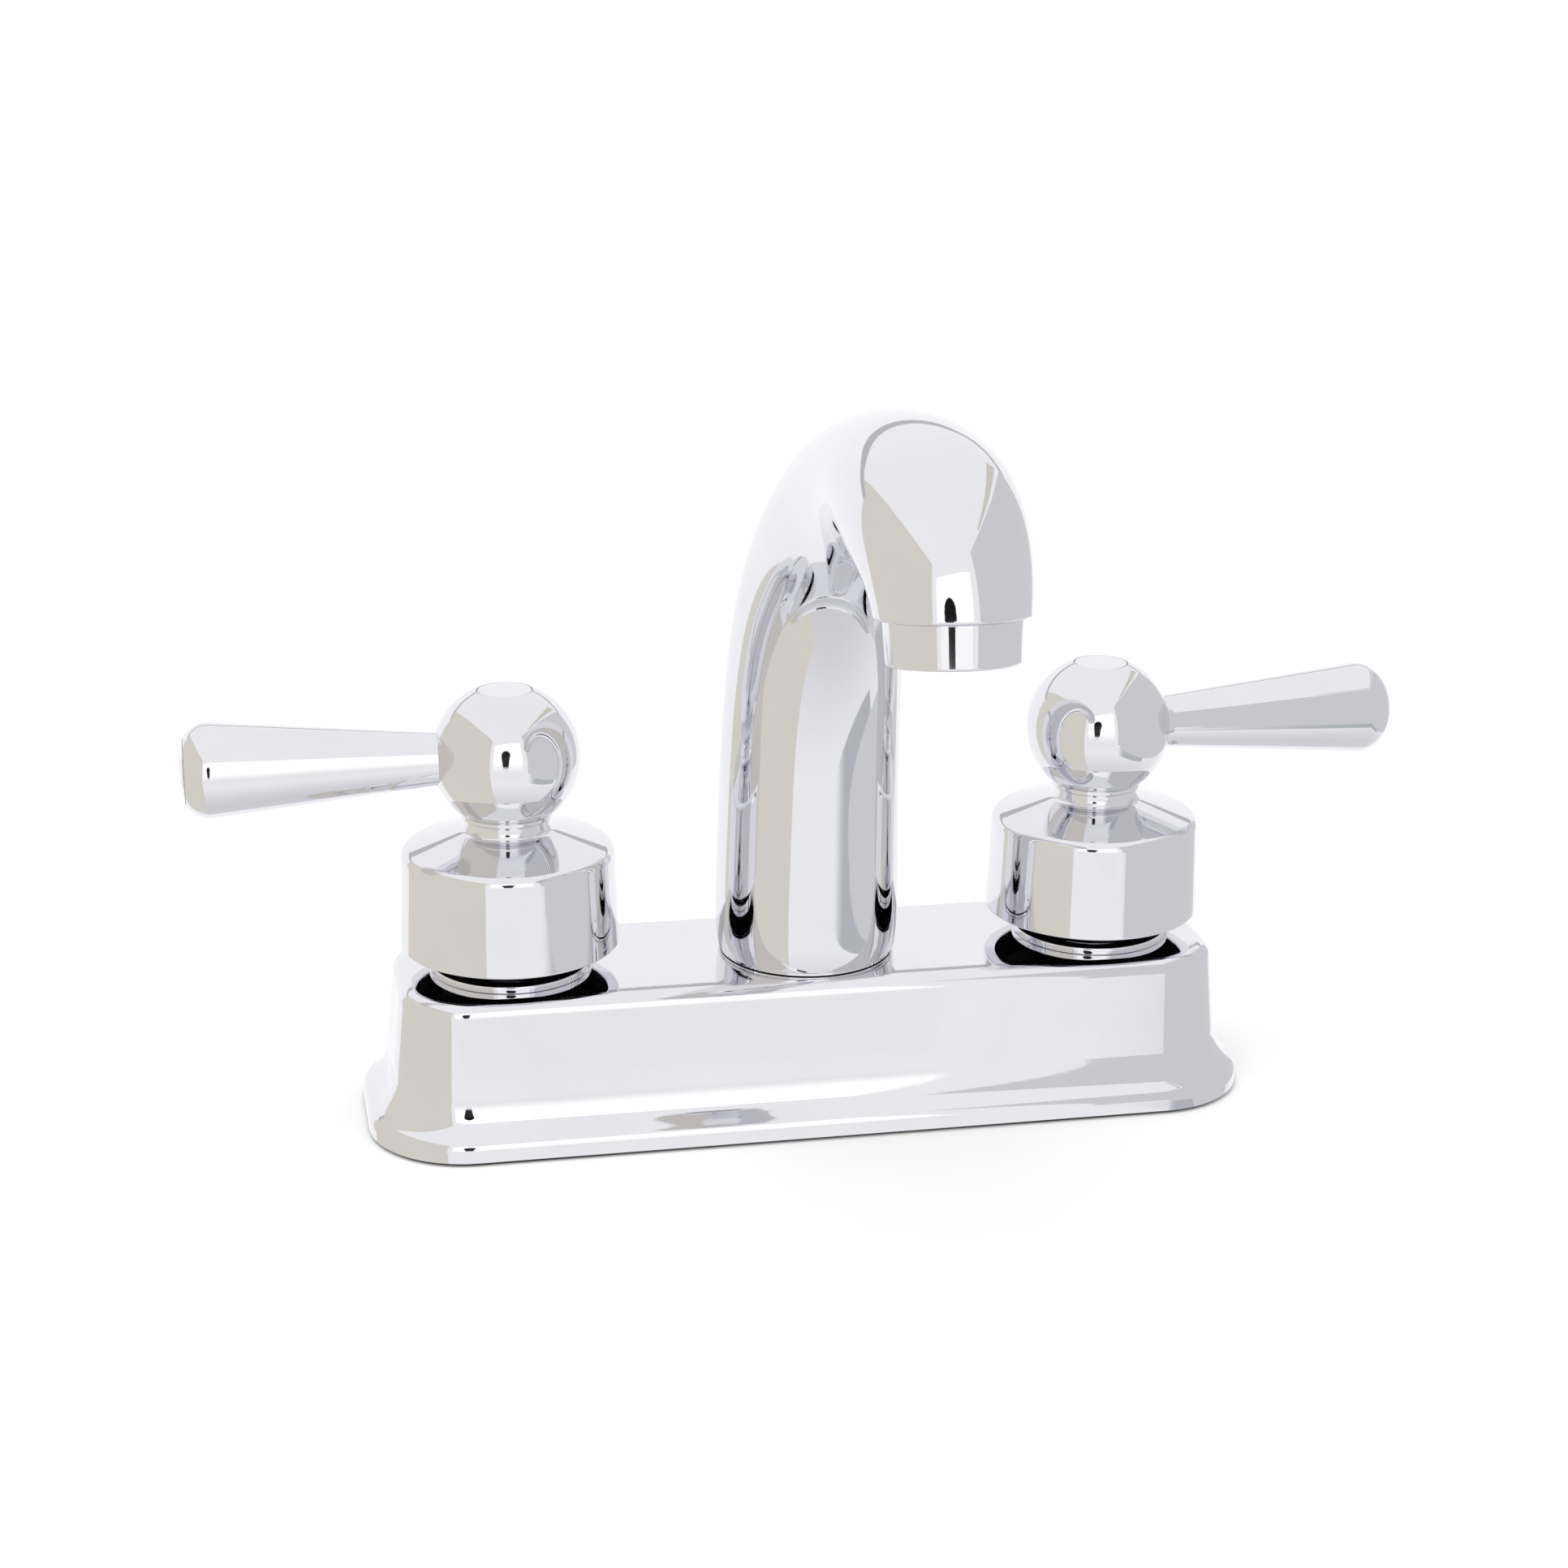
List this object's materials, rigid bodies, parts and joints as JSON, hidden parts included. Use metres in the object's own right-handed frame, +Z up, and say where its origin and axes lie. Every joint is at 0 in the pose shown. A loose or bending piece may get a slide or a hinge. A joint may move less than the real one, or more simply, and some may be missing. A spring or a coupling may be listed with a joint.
{
  "type": "centreset bathroom faucet",
  "caption": "Low chromed centreset basin faucet: lever handles on round skirts either side of a leaning column spout that narrows and ends in a rounded hood over an aerator.",
  "frame": {"origin": "middle of the underside of the deck gasket, where the faucet sits on the sink deck, halfway between the two shanks", "axes": "+Z up off the sink deck, -Y towards the user and the way the spout reaches, +X to the cold handle on the user's right"},
  "size_m": [0.2073, 0.1279, 0.1846],
  "materials": {
    "chrome": "polished chrome plate",
    "brass": "machined cast brass",
    "rubber": "matte black rubber",
    "white_plastic": "matte white plastic",
    "ceramic": "lapped ceramic",
    "steel": "plain stainless steel"
  },
  "bodies": {
    "body": {"deck_shell": "chrome", "spout": "chrome", "aerator_housing": "chrome", "valve_body": "brass", "spout_nipple": "brass", "deck_gasket": "rubber", "spout_seal": "rubber", "nipple_ring": "rubber", "aerator_washer": "rubber", "base_plate": "white_plastic", "aerator_insert": "white_plastic", "aerator_screen": "steel", "hot_shank": "brass", "hot_mounting_nut": "white_plastic", "hot_mounting_washer": "steel", "hot_seat_seal": "rubber", "hot_fixed_disc": "ceramic", "hot_cartridge_body": "brass", "hot_cartridge_ring": "rubber", "hot_stem_ring": "rubber", "hot_bonnet_nut": "chrome", "cold_shank": "brass", "cold_mounting_nut": "white_plastic", "cold_mounting_washer": "steel", "cold_seat_seal": "rubber", "cold_fixed_disc": "ceramic", "cold_cartridge_body": "brass", "cold_cartridge_ring": "rubber", "cold_stem_ring": "rubber", "cold_bonnet_nut": "chrome"},
    "hot_handle": {"hot_lever": "chrome", "hot_skirt": "chrome", "hot_handle_screw": "steel", "hot_index_button": "chrome", "hot_stem": "brass", "hot_stem_clip": "steel", "hot_moving_disc": "ceramic"},
    "cold_handle": {"cold_lever": "chrome", "cold_skirt": "chrome", "cold_handle_screw": "steel", "cold_index_button": "chrome", "cold_stem": "brass", "cold_stem_clip": "steel", "cold_moving_disc": "ceramic"}
  },
  "joints": [
    {"name": "hot_turn", "type": "hinge", "parent": "body", "child": "hot_handle", "pos_m": [-0.0508, 0, 0], "axis": [0, 0, 1], "range_deg": [0, 90]},
    {"name": "cold_turn", "type": "hinge", "parent": "body", "child": "cold_handle", "pos_m": [0.0508, 0, 0], "axis": [0, 0, -1], "range_deg": [0, 90]}
  ]
}
